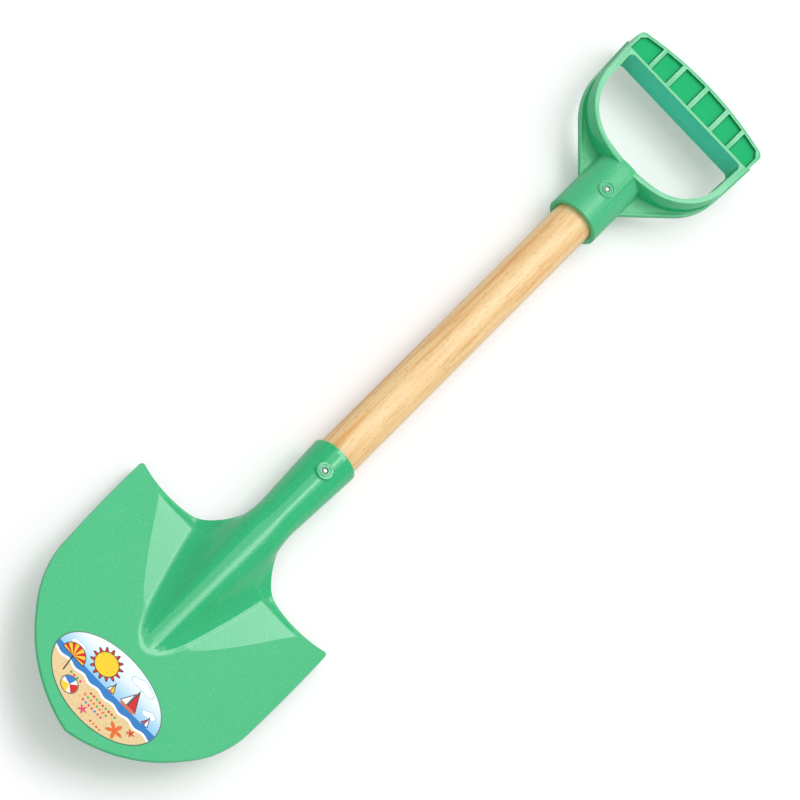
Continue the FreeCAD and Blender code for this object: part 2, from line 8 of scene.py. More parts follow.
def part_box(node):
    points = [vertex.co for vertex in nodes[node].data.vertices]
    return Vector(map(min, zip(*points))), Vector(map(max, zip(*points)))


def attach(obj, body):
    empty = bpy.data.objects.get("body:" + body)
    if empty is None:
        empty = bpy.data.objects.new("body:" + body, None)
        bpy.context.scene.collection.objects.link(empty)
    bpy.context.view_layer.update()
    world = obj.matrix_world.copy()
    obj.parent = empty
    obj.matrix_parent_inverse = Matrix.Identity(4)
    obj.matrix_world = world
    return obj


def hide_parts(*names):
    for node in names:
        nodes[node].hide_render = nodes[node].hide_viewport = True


# A sand shovel on its back. Shapes are worked out in millimetres with X along the shaft
# towards the handle, Y across and Z above the shaft's axis, then moved to where the
# frame has its shaft and its blade.
MM = 0.001
MOUTH_X = -56.5

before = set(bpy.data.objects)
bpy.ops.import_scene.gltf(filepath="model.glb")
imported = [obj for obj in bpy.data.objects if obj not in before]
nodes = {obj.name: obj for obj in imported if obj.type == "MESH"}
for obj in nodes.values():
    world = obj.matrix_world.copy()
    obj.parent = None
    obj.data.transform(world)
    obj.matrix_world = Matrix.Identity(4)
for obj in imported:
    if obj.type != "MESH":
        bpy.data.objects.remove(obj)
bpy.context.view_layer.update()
bpy.ops.object.select_all(action="DESELECT")
shaft_low, shaft_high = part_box("shaft")
blade_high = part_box("blade")[1]
SHIFT_X = blade_high[0] / MM - MOUTH_X
AXIS_HEIGHT = (shaft_low[2] + shaft_high[2]) / 2 / MM


def placed(x, y, z):
    return Vector(((x + SHIFT_X) * MM, y * MM, (z + AXIS_HEIGHT) * MM))


def nail_spot(low, high):
    """Where a nail's box has its middle along the shaft, and the level of its top."""
    return (low[0] + high[0]) / 2 / MM - SHIFT_X, high[2] / MM - AXIS_HEIGHT


def ease(share):
    share = min(max(share, 0), 1)
    return (1 - math.cos(math.pi * share)) / 2


def between(low, high, share):
    return low + (high - low) * share


# Modelling by hand: operators on what is selected. Angles are in degrees.
ROUND_SIDES = 64
RING_SIDES = 48
RING_SECTION_SIDES = 12
ROUNDING_SEGMENTS = 3
CORNER_ANGLE = 55
SMOOTH_ANGLE = 40
# A face looks along an axis if at least this share of its normal does.
FACING_SHARE = 0.99


def select(piece):
    bpy.ops.object.select_all(action="DESELECT")
    piece.select_set(True)
    bpy.context.view_layer.objects.active = piece


def edit(piece):
    select(piece)
    bpy.ops.object.mode_set(mode="EDIT")


def done():
    bpy.ops.object.mode_set(mode="OBJECT")


def edit_all(piece):
    """Opens a piece with all of it selected."""
    edit(piece)
    bpy.ops.mesh.select_all(action="SELECT")


def edit_faces(piece, wanted):
    """Opens a piece with the faces selected that pass a test."""
    edit(piece)
    bpy.ops.mesh.select_mode(type="FACE")
    bpy.ops.mesh.select_all(action="DESELECT")
    done()
    for face in piece.data.polygons:
        face.select = wanted(face)
    edit(piece)


def new_piece(name):
    """Names the primitive that was just added and moves its place into its mesh."""
    piece = bpy.context.object
    piece.name = name
    select(piece)
    bpy.ops.object.transform_apply(location=True, rotation=True, scale=True)
    return piece


def join(pieces, name):
    select(pieces[0])
    for piece in pieces:
        piece.select_set(True)
    bpy.ops.object.join()
    pieces[0].name = name
    return pieces[0]


def modify(piece, kind, **settings):
    select(piece)
    modifier = piece.modifiers.new(kind.lower(), kind)
    for key, value in settings.items():
        setattr(modifier, key, value)
    bpy.ops.object.modifier_apply(modifier=modifier.name)


def thicken(piece, wall):
    """Gives a surface its wall, on the side that it doesn't face."""
    modify(piece, "SOLIDIFY", thickness=wall * MM, offset=-1)


def round_edges(piece, width, least_angle=CORNER_ANGLE):
    """Rounds the edges that turn by more than an angle."""
    modify(
        piece,
        "BEVEL",
        width=width * MM,
        segments=ROUNDING_SEGMENTS,
        limit_method="ANGLE",
        angle_limit=math.radians(least_angle),
    )


def smooth(piece):
    select(piece)
    bpy.ops.object.shade_smooth_by_angle(angle=math.radians(SMOOTH_ANGLE))


def merge(piece, distance):
    edit_all(piece)
    bpy.ops.mesh.remove_doubles(threshold=distance * MM)
    bpy.ops.mesh.dissolve_degenerate(threshold=distance * MM)
    done()


def facing_up(piece):
    """Turns a surface over if most of it faces down."""
    total = sum(face.normal.z * face.area for face in piece.data.polygons)
    if total < 0:
        edit_all(piece)
        bpy.ops.mesh.flip_normals()
        done()


def recess(piece, wanted, margin, steps):
    """Sinks the faces that pass a test, within a margin, by steps along X, Y and Z."""
    edit_faces(piece, wanted)
    bpy.ops.mesh.inset(thickness=margin * MM)
    offset = tuple(step * MM for step in steps)
    bpy.ops.mesh.extrude_region_move(TRANSFORM_OT_translate={"value": offset})
    done()


def shaped_grid(name, rows, columns, place):
    """A grid whose points are placed by row and column number."""
    bpy.ops.mesh.primitive_grid_add(x_subdivisions=rows, y_subdivisions=columns, size=1)
    grid = new_piece(name)
    for vertex in grid.data.vertices:
        row = round((vertex.co.x + 1 / 2) * rows)
        column = round((vertex.co.y + 1 / 2) * columns)
        vertex.co = place(row, column)
    return grid


# The blade: a dished sheet, and a hump that opens out of the round socket and dies out
# towards the point. The socket tapers from its mouth to the neck.
WALL = 2.2
NECK_X = -106.0
STEP_X = -138.2
TIP_X = -292.29
MOUTH_RADIUS = 15.05
NECK_RADIUS = 12.75

# The sheet falls from the neck's throat to its heel, then lifts and curves up to the point.
THROAT_X = -108.0
THROAT_DEPTH = 6.0
HEEL_X = -134.6
HEEL_DEPTH = 14.75
LIFT_ANGLE = 8.0
LIFT = math.tan(math.radians(LIFT_ANGLE))
DISH_LENGTH_RADIUS = 1400.0
DISH_CROSS_RADIUS = 350.0

# The hump's foot widens from the tip like a parabola.
HUMP_TIP_X = -218.0
HUMP_SPREAD = 13.0
HUMP_LEAST = 5.0
CREST_SOFT = 1.5

# Half of the outline, from the neck's flare round to the point, in arcs.
FLARE_START = (-112.5, NECK_RADIUS)
STEP_START = (STEP_X, 34.8)
STEP_END = (-139.4, 73.0)
SHOULDER = (-141.1, 74.65)
BEND = (-211.9, 73.3)
NOSE = (-253.4, 57.7)
POINT_START = (-291.97, 2.4)
POINT_END = (POINT_START[0], -POINT_START[1])
FLARE_RADIUS = 33.25
STEP_RADIUS = 83.0
SHOULDER_RADIUS = 1.6
SIDE_RADIUS = 1230.0
BEND_RADIUS = 72.0
NOSE_RADIUS = 96.5
POINT_RADIUS = 9.1

# From the neck on the round section opens below, up to FOOT_OPEN_X, and becomes a bell, up
# to BELL_X. Between FLARE_OPEN_X and FLARE_WIDE_X its flare spreads to the hump's foot.
FOOT_OPEN_X = -116.0
BELL_X = -152.0
FLARE_OPEN_X = -114.0
FLARE_WIDE_X = -134.0

# The hump's section is two curves, from the crest by the flank to the foot. The flank's
# place and the curves' handles are shares of the hump's half width, or of its rise.
FLANK_SHARE = 0.5
QUARTER_SHARE = 0.5523
CREST_SHARE = 0.3
FLANK_WIDTH_SHARE = 0.163
# From SOFT_X to the tip the foot turns soft, and these go from the first to the second.
SOFT_X = -172.0
SOFT_WIDTH = 3.6
FLANK_PLACE_SHARES = (0.5, 0.46)
FLANK_FALL_SHARES = (0.256, 0.235)
FOOT_SHARES = (0.181, 0.33)

# The flat wedge on each side of the hump.
FACET_TIP_X = -217.0
FACET_TOP_X = -143.3
FACET_END_X = -140.2
FACET_TOP_HALF = 55.3
FACET_POWER = 0.75
FACET_SLOPE = 0.073

# Rows of faces along the blade and columns across it. The crease at the wedge's side stays
# away from the hump by at least a share of the sheet beside it.
TUBE_ROWS = 16
NECK_ROWS = 34
BLADE_ROWS = 100
HUMP_COLUMNS = 26
WING_COLUMNS = 34
FACET_COLUMNS = 10
CREASE_SHARE = 0.05
# How far past the step the rows follow the flare and the bend of the upper edge.
EDGE_FADE = 9.0
STEP_FADE = 14.0
LEAN_POWER = 4
# The section's share at the side of the hump's strip is looked for up to a limit.
SHARE_LIMIT = 1.5
SHARE_ERROR = 1e-6

SHEET_WELD = 0.008
SHEET_ROUNDING = 0.7


def sheet_level(x, y):
    run = max(HEEL_X - x, 0)
    sweep = ease((THROAT_X - x) / (THROAT_X - HEEL_X))
    level = -between(THROAT_DEPTH, HEEL_DEPTH, sweep)
    level += run * LIFT + run * run / (2 * DISH_LENGTH_RADIUS)
    return level + y * y / (2 * DISH_CROSS_RADIUS)


def arc_centre(start, end, radius, turn):
    """Centre of an arc between two points, to the left of its chord if turn is 1 and to
    the right if it is -1."""
    chord = (end[0] - start[0], end[1] - start[1])
    length = math.hypot(*chord)
    rise = math.sqrt(radius * radius - length * length / 4) * turn / length
    return (
        (start[0] + end[0]) / 2 - chord[1] * rise,
        (start[1] + end[1]) / 2 + chord[0] * rise,
    )


FLARE_CENTRE = arc_centre(FLARE_START, STEP_START, FLARE_RADIUS, -1)
STEP_CENTRE = arc_centre(STEP_START, STEP_END, STEP_RADIUS, -1)
SIDE_ARCS = tuple(
    (end[0], radius, arc_centre(start, end, radius, 1))
    for start, end, radius in (
        (STEP_END, SHOULDER, SHOULDER_RADIUS),
        (SHOULDER, BEND, SIDE_RADIUS),
        (BEND, NOSE, BEND_RADIUS),
        (NOSE, POINT_START, NOSE_RADIUS),
        (POINT_START, POINT_END, POINT_RADIUS),
    )
)


def flare_half(x):
    """Half width of the neck, out to the step."""
    if x > FLARE_START[0]:
        return FLARE_START[1]
    reach = FLARE_RADIUS**2 - (x - FLARE_CENTRE[0]) ** 2
    return FLARE_CENTRE[1] - math.sqrt(max(reach, 0))


def side_half(x):
    """Half width of the blade, from the step to the point."""
    for end, radius, centre in SIDE_ARCS:
        if x >= end:
            break
    reach = radius**2 - (x - centre[0]) ** 2
    return max(centre[1] + math.sqrt(max(reach, 0)), 0)


def step_bend(y):
    """How far along X the blade's upper edge lies from the line across its flares."""
    y = min(max(y, STEP_START[1]), STEP_END[1])
    reach = STEP_RADIUS**2 - (y - STEP_CENTRE[1]) ** 2
    return STEP_CENTRE[0] - math.sqrt(reach) - STEP_X


def softness(x):
    """How far the hump's foot runs out softly into the sheet."""
    return ease((SOFT_X - x) / (SOFT_X - HUMP_TIP_X))


def hump_half(x):
    """Half width of the hump at its foot."""
    half = math.sqrt(HUMP_SPREAD * max(x - HUMP_TIP_X, 0) + HUMP_LEAST**2)
    return half + SOFT_WIDTH * softness(x)


def foot_half(x):
    """Half width of the whole section: the neck's flare opens into the hump's foot."""
    if x <= FLARE_WIDE_X:
        return hump_half(x)
    spread = ease((FLARE_OPEN_X - x) / (FLARE_OPEN_X - FLARE_WIDE_X))
    return between(flare_half(x), hump_half(x), spread)


def edge_half(x):
    """Half width of the hump's strip of faces, whose sides the wings carry on."""
    if x >= STEP_X:
        return flare_half(x)
    extra = STEP_START[1] - hump_half(STEP_X)
    fade = 1 - ease((STEP_X - x) / EDGE_FADE)
    return min(hump_half(x) + extra * fade, side_half(x) / 2)


def facet_half(x):
    """Half width at which the flat wedge beside the hump ends."""
    share = max(x - FACET_TIP_X, 0) / (FACET_TOP_X - FACET_TIP_X)
    return FACET_TOP_HALF * share**FACET_POWER


def facet_rise(x, y):
    """How far the flat wedge beside the hump stands over the sheet."""
    fade = ease((FACET_END_X - x) / (FACET_END_X - FACET_TOP_X))
    width = facet_half(x) - max(abs(y), hump_half(x))
    return max(width, 0) * FACET_SLOPE * fade


def tube_radius(x):
    return between(MOUTH_RADIUS, NECK_RADIUS, (MOUTH_X - x) / (MOUTH_X - NECK_X))


def crest_level(x):
    if x >= NECK_X:
        return tube_radius(x)
    share = (x - HUMP_TIP_X) / (NECK_X - HUMP_TIP_X)
    straight = between(sheet_level(HUMP_TIP_X, 0), NECK_RADIUS, share)
    rise = straight - sheet_level(x, 0)
    if rise < CREST_SOFT:
        # The straight crest runs out tangent to the sheet.
        rise = max(rise + CREST_SOFT, 0) ** 2 / (4 * CREST_SOFT)
    return sheet_level(x, 0) + rise


def cubic(start, start_handle, end_handle, end, share):
    rest = 1 - share
    near = start * rest**3 + start_handle * (3 * rest * rest * share)
    return near + end_handle * (3 * rest * share * share) + end * share**3


def hump_section(x, share):
    """A point of the section at x, as width and level: share 0 is the crest, 1 the foot,
    and more is on the sheet. A round tube opens below and spreads to a bell."""
    half = foot_half(x)
    if share > 1:
        y = half * share
        return Vector((y, sheet_level(x, y) + facet_rise(x, y)))
    bell = ease((NECK_X - x) / (NECK_X - BELL_X))
    opened = ease((NECK_X - x) / (NECK_X - FOOT_OPEN_X))
    soft = softness(x)
    radius = tube_radius(max(x, NECK_X))
    reach = radius * QUARTER_SHARE
    wide = hump_half(x)
    height = crest_level(x)
    crest = Vector((0, height))
    crest_out = Vector((between(reach, wide * CREST_SHARE, bell), 0))
    foot_level = sheet_level(x, half)
    rise = height - foot_level
    flank_y = wide * between(*FLANK_PLACE_SHARES, soft)
    flank = Vector((radius, 0)).lerp(Vector((flank_y, foot_level + rise / 2)), bell)
    steep = Vector((wide * FLANK_WIDTH_SHARE, -rise * between(*FLANK_FALL_SHARES, soft)))
    fall = Vector((0, -reach)).lerp(steep, bell)
    if share < FLANK_SHARE:
        return cubic(crest, crest + crest_out, flank - fall, flank, share / FLANK_SHARE)
    foot_end = Vector((half, foot_level + facet_rise(x, half)))
    foot = Vector((0, -radius)).lerp(foot_end, opened)
    inward = Vector((-1, -half / DISH_CROSS_RADIUS)) * half * between(*FOOT_SHARES, soft)
    foot_in = Vector((reach, 0)).lerp(inward, opened)
    lower_share = (share - FLANK_SHARE) / (1 - FLANK_SHARE)
    return cubic(flank, flank + fall, foot + foot_in, foot, lower_share)


@functools.cache
def edge_share(x):
    """Share of the section at which it meets the sides of the hump's strip."""
    if x >= FLARE_OPEN_X:
        return 1
    edge = edge_half(x)
    low = 0
    high = SHARE_LIMIT
    while high - low > SHARE_ERROR:
        middle = (low + high) / 2
        if hump_section(x, middle).x < edge:
            low = middle
        else:
            high = middle
    return high


def row_x(row):
    """Where a row of faces lies. The blade's rows are closest at both of its ends."""
    if row <= TUBE_ROWS:
        return between(MOUTH_X, NECK_X, row / TUBE_ROWS)
    row -= TUBE_ROWS
    if row <= NECK_ROWS:
        return between(NECK_X, STEP_X, row / NECK_ROWS)
    share = (row - NECK_ROWS) / BLADE_ROWS
    return between(STEP_X, TIP_X, (share + ease(share)) / 2)


def hump_point(row, column):
    x = row_x(row)
    share = (column - HUMP_COLUMNS) / HUMP_COLUMNS
    point = hump_section(x, abs(share) * edge_share(x))
    return placed(x, math.copysign(point.x, share), point.y)


def wing_point(side):
    """Places the sheet on one side: a flat wedge beside the hump, then out to the edge."""

    def place(row, column):
        x = row_x(row + TUBE_ROWS + NECK_ROWS)
        fade = (1 - min((STEP_X - x) / STEP_FADE, 1)) ** 2
        half = edge_half(x)
        edge = side_half(x + step_bend(STEP_END[1]) * fade)
        crease = max(facet_half(min(x, FACET_TOP_X)), between(half, edge, CREASE_SHARE))
        if column < FACET_COLUMNS:
            y = between(half, crease, ease(column / FACET_COLUMNS))
        else:
            outward = (column - FACET_COLUMNS) / (WING_COLUMNS - FACET_COLUMNS)
            y = between(crease, edge, ease(outward))
        rise = facet_rise(x, y)
        x += step_bend(y) * fade
        # The wall's back leans outwards, so the front's edge stays inside the outline.
        lean = (column / WING_COLUMNS) ** LEAN_POWER
        y -= y / DISH_CROSS_RADIUS * WALL * lean
        return placed(x, y * side, sheet_level(x, y) + rise)

    return place


hump = shaped_grid("hump", TUBE_ROWS + NECK_ROWS + BLADE_ROWS, HUMP_COLUMNS * 2, hump_point)
wings = [shaped_grid("wing", BLADE_ROWS, WING_COLUMNS, wing_point(side)) for side in (1, -1)]
for surface in (hump, *wings):
    facing_up(surface)
sheet = join([hump, *wings], "blade_moulding")
merge(sheet, SHEET_WELD)
thicken(sheet, WALL)
round_edges(sheet, SHEET_ROUNDING)

# The cup that the dowel's end stands in, under the hump.
CUP_FROM_X = -105.0
CUP_TO_X = -119.0
CUP_MOUTH_RADIUS = 12.6
CUP_END_RADIUS = 10.95
CUP_BORE_RADIUS = 10.6
CUP_DEPTH = 11.0
bpy.ops.mesh.primitive_cone_add(
    vertices=ROUND_SIDES,
    radius1=CUP_END_RADIUS * MM,
    radius2=CUP_MOUTH_RADIUS * MM,
    depth=(CUP_FROM_X - CUP_TO_X) * MM,
    rotation=(0, math.pi / 2, 0),
    location=placed((CUP_FROM_X + CUP_TO_X) / 2, 0, 0),
)
cup = new_piece("dowel_cup")


def at_cup_mouth(face):
    return face.normal.x > FACING_SHARE


recess(cup, at_cup_mouth, CUP_MOUTH_RADIUS - CUP_BORE_RADIUS, (-CUP_DEPTH, 0, 0))

# A low round boss with the seat of the nail's head, and a groove round that.
BOSS_RADIUS = 5.2
BOSS_DEPTH = 2.4
BOSS_ROUNDING = 0.35
SEAT_RADIUS = 1.95
SEAT_DEPTH = 0.9
GROOVE_MARGIN = 1.15
GROOVE_DEPTH = 0.3
BLADE_NAIL_X, BLADE_NAIL_TOP = nail_spot(*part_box("blade_nail"))


def on_boss_top(face):
    return face.normal.z > FACING_SHARE and face.area > (SEAT_RADIUS * MM) ** 2


def groove(piece, x, top):
    """A round groove in the flat top of a boss on the middle line."""
    middle = placed(x, 0, top)

    def on_top(face):
        offset = face.center - middle
        near = math.hypot(offset.x, offset.y) < BOSS_RADIUS * MM
        level = abs(offset.z) < GROOVE_DEPTH * MM / 2
        return near and level and face.normal.z > FACING_SHARE

    recess(piece, on_top, GROOVE_MARGIN, (0, 0, -GROOVE_DEPTH))


bpy.ops.mesh.primitive_cylinder_add(
    vertices=ROUND_SIDES,
    radius=BOSS_RADIUS * MM,
    depth=BOSS_DEPTH * MM,
    location=placed(BLADE_NAIL_X, 0, BLADE_NAIL_TOP - BOSS_DEPTH / 2),
)
boss = new_piece("blade_boss")
round_edges(boss, BOSS_ROUNDING)
recess(boss, on_boss_top, BOSS_RADIUS - BOSS_ROUNDING - SEAT_RADIUS, (0, 0, -SEAT_DEPTH))
groove(boss, BLADE_NAIL_X, BLADE_NAIL_TOP)
blade = join([sheet, cup, boss], "blade_moulding")
smooth(blade)

# Handle: a copy of the moulding in the frame, with its facets joined to flat faces and
# its edges rounded.
HANDLE_WELD = 0.002
HANDLE_FLAT_ANGLE = 1.0
HANDLE_ROUNDING = 0.45
HANDLE_CORNER_ANGLE = 32
GRIP_BACK_LEVEL = -4.215
GRIP_BACK_MARGIN = 0.05
GRIP_ROUNDING = 1.1
GRIP_SEGMENTS = 4
HANDLE_NAIL_X, HANDLE_NAIL_TOP = nail_spot(*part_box("handle_nail"))

select(nodes["d_handle"])
bpy.ops.object.duplicate()
handle = bpy.context.object
handle.name = "handle_moulding"
# The copy keeps nothing that the frame wrote on the node.
for key in list(handle.keys()):
    del handle[key]
handle.parent = None
merge(handle, HANDLE_WELD)
edit_all(handle)
bpy.ops.mesh.dissolve_limited(angle_limit=math.radians(HANDLE_FLAT_ANGLE))
done()


def on_grip_back(face):
    """Whether a face is the flat back of the strap and the grip."""
    offset = face.center.z - placed(0, 0, GRIP_BACK_LEVEL).z
    return face.normal.z < -FACING_SHARE and abs(offset) < GRIP_BACK_MARGIN * MM


# The back is rounded more, for the hand.
edit_faces(handle, on_grip_back)
bpy.ops.mesh.region_to_loop()
bpy.ops.mesh.bevel(offset=GRIP_ROUNDING * MM, segments=GRIP_SEGMENTS)
done()
round_edges(handle, HANDLE_ROUNDING, HANDLE_CORNER_ANGLE)
groove(handle, HANDLE_NAIL_X, HANDLE_NAIL_TOP)

# The fine raised ring that an ejector pin left on a gusset.
GUSSET_LEVEL = 1.3
EJECTOR_X = 193.5
EJECTOR_Y = 21.5
EJECTOR_RADIUS = 2.3
EJECTOR_THICKNESS = 0.22
bpy.ops.mesh.primitive_torus_add(
    major_segments=RING_SIDES,
    minor_segments=RING_SECTION_SIDES,
    major_radius=EJECTOR_RADIUS * MM,
    minor_radius=EJECTOR_THICKNESS * MM,
    location=placed(EJECTOR_X, EJECTOR_Y, GUSSET_LEVEL),
)
mark = new_piece("ejector_mark")
handle = join([handle, mark], "handle_moulding")
smooth(handle)

# Nails, turned: domed head, shank and point, as depth below the head's top and radius.
HEAD_RADIUS = 1.75
HEAD_DEPTH = 0.8
SHANK_RADIUS = 0.95
SHANK_DEPTH = 12.4
NAIL_LENGTH = 15.0
NAIL_PROFILE = (
    (0, 0),
    (0.05, 0.8),
    (0.18, 1.3),
    (0.4, HEAD_RADIUS),
    (HEAD_DEPTH, HEAD_RADIUS),
    (HEAD_DEPTH, SHANK_RADIUS),
    (SHANK_DEPTH, SHANK_RADIUS),
    (NAIL_LENGTH, 0),
)
NAIL_SPOKES = 32
NAIL_WELD = 0.002


def nail(name, x, top):
    def place(row, column):
        depth, radius = NAIL_PROFILE[row]
        angle = column / NAIL_SPOKES * math.tau
        return placed(x + radius * math.cos(angle), radius * math.sin(angle), top - depth)

    turned = shaped_grid(name, len(NAIL_PROFILE) - 1, NAIL_SPOKES, place)
    merge(turned, NAIL_WELD)
    edit_all(turned)
    bpy.ops.mesh.normals_make_consistent(inside=False)
    done()
    smooth(turned)
    return turned


blade_nail = nail("blade_pin", BLADE_NAIL_X, BLADE_NAIL_TOP)
handle_nail = nail("handle_pin", HANDLE_NAIL_X, HANDLE_NAIL_TOP)

# Oval label, laid on the sheet. Its height is that of its face over the sheet.
label_low, label_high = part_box("sticker")
LABEL_X = (label_low[0] + label_high[0]) / 2 / MM - SHIFT_X
LABEL_HALF_LENGTH = (label_high[0] - label_low[0]) / 2 / MM
LABEL_HALF_WIDTH = (label_high[1] - label_low[1]) / 2 / MM
LABEL_HEIGHT = 0.22
LABEL_THICKNESS = 0.17
LABEL_RINGS = 40
LABEL_SPOKES = 180
LABEL_WELD = 0.01


def label_point(row, column):
    reach = row / LABEL_RINGS
    angle = column / LABEL_SPOKES * math.tau
    x = LABEL_X + LABEL_HALF_LENGTH * reach * math.cos(angle)
    y = LABEL_HALF_WIDTH * reach * math.sin(angle)
    return placed(x, y, sheet_level(x, y) + LABEL_HEIGHT)


label = shaped_grid("label", LABEL_RINGS, LABEL_SPOKES, label_point)
merge(label, LABEL_WELD)
facing_up(label)
thicken(label, LABEL_THICKNESS)
smooth(label)

# Materials.


class Flow:
    """A socket of a material's nodes. Sums of flows and numbers add Math nodes."""

    def __init__(self, paint, socket):
        self.paint = paint
        self.socket = socket

    def maths(self, operation, *others):
        return self.paint.node("ShaderNodeMath", {"operation": operation}, self, *others)

    def __add__(self, other):
        return self.maths("ADD", other)

    def __radd__(self, other):
        return self.maths("ADD", other)

    def __sub__(self, other):
        return self.maths("SUBTRACT", other)

    def __rsub__(self, other):
        return self.paint.node("ShaderNodeMath", {"operation": "SUBTRACT"}, other, self)

    def __mul__(self, other):
        return self.maths("MULTIPLY", other)

    def __rmul__(self, other):
        return self.maths("MULTIPLY", other)

    def __truediv__(self, other):
        return self.maths("DIVIDE", other)

    def __pow__(self, other):
        return self.maths("POWER", other)

    def __abs__(self):
        return self.maths("ABSOLUTE")

    def most(self, other):
        return self.maths("MAXIMUM", other)

    def least(self, other):
        return self.maths("MINIMUM", other)

    def above(self, limit, soft):
        """0 where the flow is under a limit, 1 over it, with a soft edge."""
        return self.paint.ramp(self, limit - soft, limit + soft)

    def below(self, limit, soft):
        return self.paint.ramp(self, limit + soft, limit - soft)

    def within(self, low, high, soft):
        return self.above(low, soft) * self.below(high, soft)


class Paint:
    """A material with one glossy shader, whose other nodes are added by one method."""

    def __init__(self, name, **constants):
        self.material = bpy.data.materials.new(name)
        self.material.use_nodes = True
        self.tree = self.material.node_tree
        self.shader = self.tree.nodes["Principled BSDF"]
        for socket, value in constants.items():
            self.shader.inputs[socket.replace("_", " ")].default_value = value
        self.place = self.node("ShaderNodeTexCoord", {}, output="Object")

    def node(self, kind, settings, *values, output=0, **named):
        """Adds a node. Its sockets take values or flows, in their order or by name."""
        node = self.tree.nodes.new(kind)
        for key, value in settings.items():
            setattr(node, key, value)
        inputs = dict(enumerate(values))
        inputs.update({name.replace("_", " "): value for name, value in named.items()})
        sockets = [socket for socket in node.inputs if socket.enabled]
        for key, value in inputs.items():
            fitting = [socket for socket in sockets if socket.name == key]
            socket = fitting[0] if fitting else sockets[key]
            if isinstance(value, Flow):
                self.tree.links.new(value.socket, socket)
            else:
                socket.default_value = value
        if isinstance(output, str):
            return Flow(self, node.outputs[output])
        results = [socket for socket in node.outputs if socket.enabled]
        return Flow(self, results[output])

    def ramp(self, flow, low, high):
        """0 at low, 1 at high, smooth between them."""
        settings = {"interpolation_type": "SMOOTHSTEP"}
        return self.node("ShaderNodeMapRange", settings, flow, low, high, 0.0, 1.0)

    def noise(self, scale, detail=2.0, roughness=0.5, stretch=(1, 1, 1)):
        """Clouds, about so many to the metre, drawn out along an axis whose stretch is
        under 1."""
        settings = {"operation": "MULTIPLY"}
        spot = self.node("ShaderNodeVectorMath", settings, self.place, stretch)
        return self.node(
            "ShaderNodeTexNoise",
            {},
            Vector=spot,
            Scale=scale,
            Detail=detail,
            Roughness=roughness,
        )

    def mix(self, share, first, second):
        return self.node(
            "ShaderNodeMix", {"data_type": "RGBA"}, Factor=share, A=first, B=second
        )

    def axes(self):
        """The place on the piece in millimetres, in the script's own directions."""
        across = self.node("ShaderNodeSeparateXYZ", {}, self.place, output="X")
        split = across.socket.node
        x, y, z = (Flow(self, socket) for socket in split.outputs)
        return x / MM - SHIFT_X, y / MM, z / MM - AXIS_HEIGHT

    def bump(self, height, distance, strength):
        self.set(
            Normal=self.node(
                "ShaderNodeBump", {}, Strength=strength, Distance=distance, Height=height
            )
        )

    def set(self, **flows):
        for name, flow in flows.items():
            self.tree.links.new(flow.socket, self.shader.inputs[name.replace("_", " ")])


# How a screen's levels become light.
SCREEN_TOP = 255
SCREEN_OFFSET = 0.055
SCREEN_POWER = 2.4


def colour(*levels):
    """A colour written as on a screen, as red, green and blue from 0 to 255."""
    light = (
        ((level / SCREEN_TOP + SCREEN_OFFSET) / (1 + SCREEN_OFFSET)) ** SCREEN_POWER
        for level in levels
    )
    return (*light, 1)


# Each material's colours, then its patterns: the settings of a noise, and an edge as its
# limit and how soft it is.
# Painted shade: the recessed pocket floors are darker than the plastic.
SHADED_POCKET_GREEN = colour(4, 184, 110)
# Painted shade on the pockets' walls and inner corners.
PAINTED_SHADE_GREEN = colour(10, 96, 60)
GREEN = colour(30, 184, 116)
GREEN_PALE = colour(48, 190, 126)
# Painted highlight: the pale green of lit rims, glints, and the lit socket and gussets.
PAINTED_HIGHLIGHT_GREEN = colour(150, 224, 182)
# Painted bounce light: the grip's inner wall is tinted bluer and paler.
PAINTED_BOUNCE_TEAL = colour(36, 214, 178)
PLASTIC_IOR = 1.6
CLOUD = {"scale": 26.0, "detail": 3.0}
CLOUD_EDGE = (0.5, 0.2)
CLOUD_SHARE = 0.35
# Painted glints: fine pale specks in the highlight green.
GLINT_SPECK = {"scale": 1200.0}
GLINT_SPECK_EDGE = (0.66, 0.08)
GLINT_SPECK_SHARE = 0.3
PEEL = {"scale": 520.0, "detail": 3.0, "roughness": 0.6}
PEEL_ROUGHNESS = 0.06
PEEL_BUMP = 0.00006
BUMP_STRENGTH = 0.3
BLADE_ROUGHNESS = 0.09
HANDLE_ROUGHNESS = 0.2


def plastic(name, roughness):
    """Moulded plastic: faint clouds of colour, fine pale specks that are painted glints,
    orange peel, gloss.
    """
    paint = Paint(name, Roughness=roughness, IOR=PLASTIC_IOR)
    cloud = paint.noise(**CLOUD)
    glint_speck = paint.noise(**GLINT_SPECK)
    tint = paint.mix(cloud.above(*CLOUD_EDGE) * CLOUD_SHARE, GREEN, GREEN_PALE)
    # Painted glints: fine pale specks in the highlight green.
    tint = paint.mix(glint_speck.above(*GLINT_SPECK_EDGE) * GLINT_SPECK_SHARE, tint, PAINTED_HIGHLIGHT_GREEN)
    peel = paint.noise(**PEEL)
    paint.set(Roughness=roughness + peel * PEEL_ROUGHNESS)
    paint.bump(peel, PEEL_BUMP, BUMP_STRENGTH)
    return paint, tint


def blade_plastic():
    paint, tint = plastic("blade_plastic", BLADE_ROUGHNESS)
    paint.set(Base_Color=tint)
    return paint.material


# Where the handle's front rims, the grip's pockets and its inner wall are.
RIM_LEVELS = (15.1, 15.7)
RIM_FROM_X = 203.0
POCKET_LEVELS = (13.3, 15.0)
POCKET_FROM_X = 261.5
WALL_PLACES = (256.0, 261.2)
WALL_TOP_LEVEL = 15.0
WALL_HALF_WIDTH = 45.0
GUSSET_TOP_LEVEL = 2.3
GUSSET_END_X = 236.0
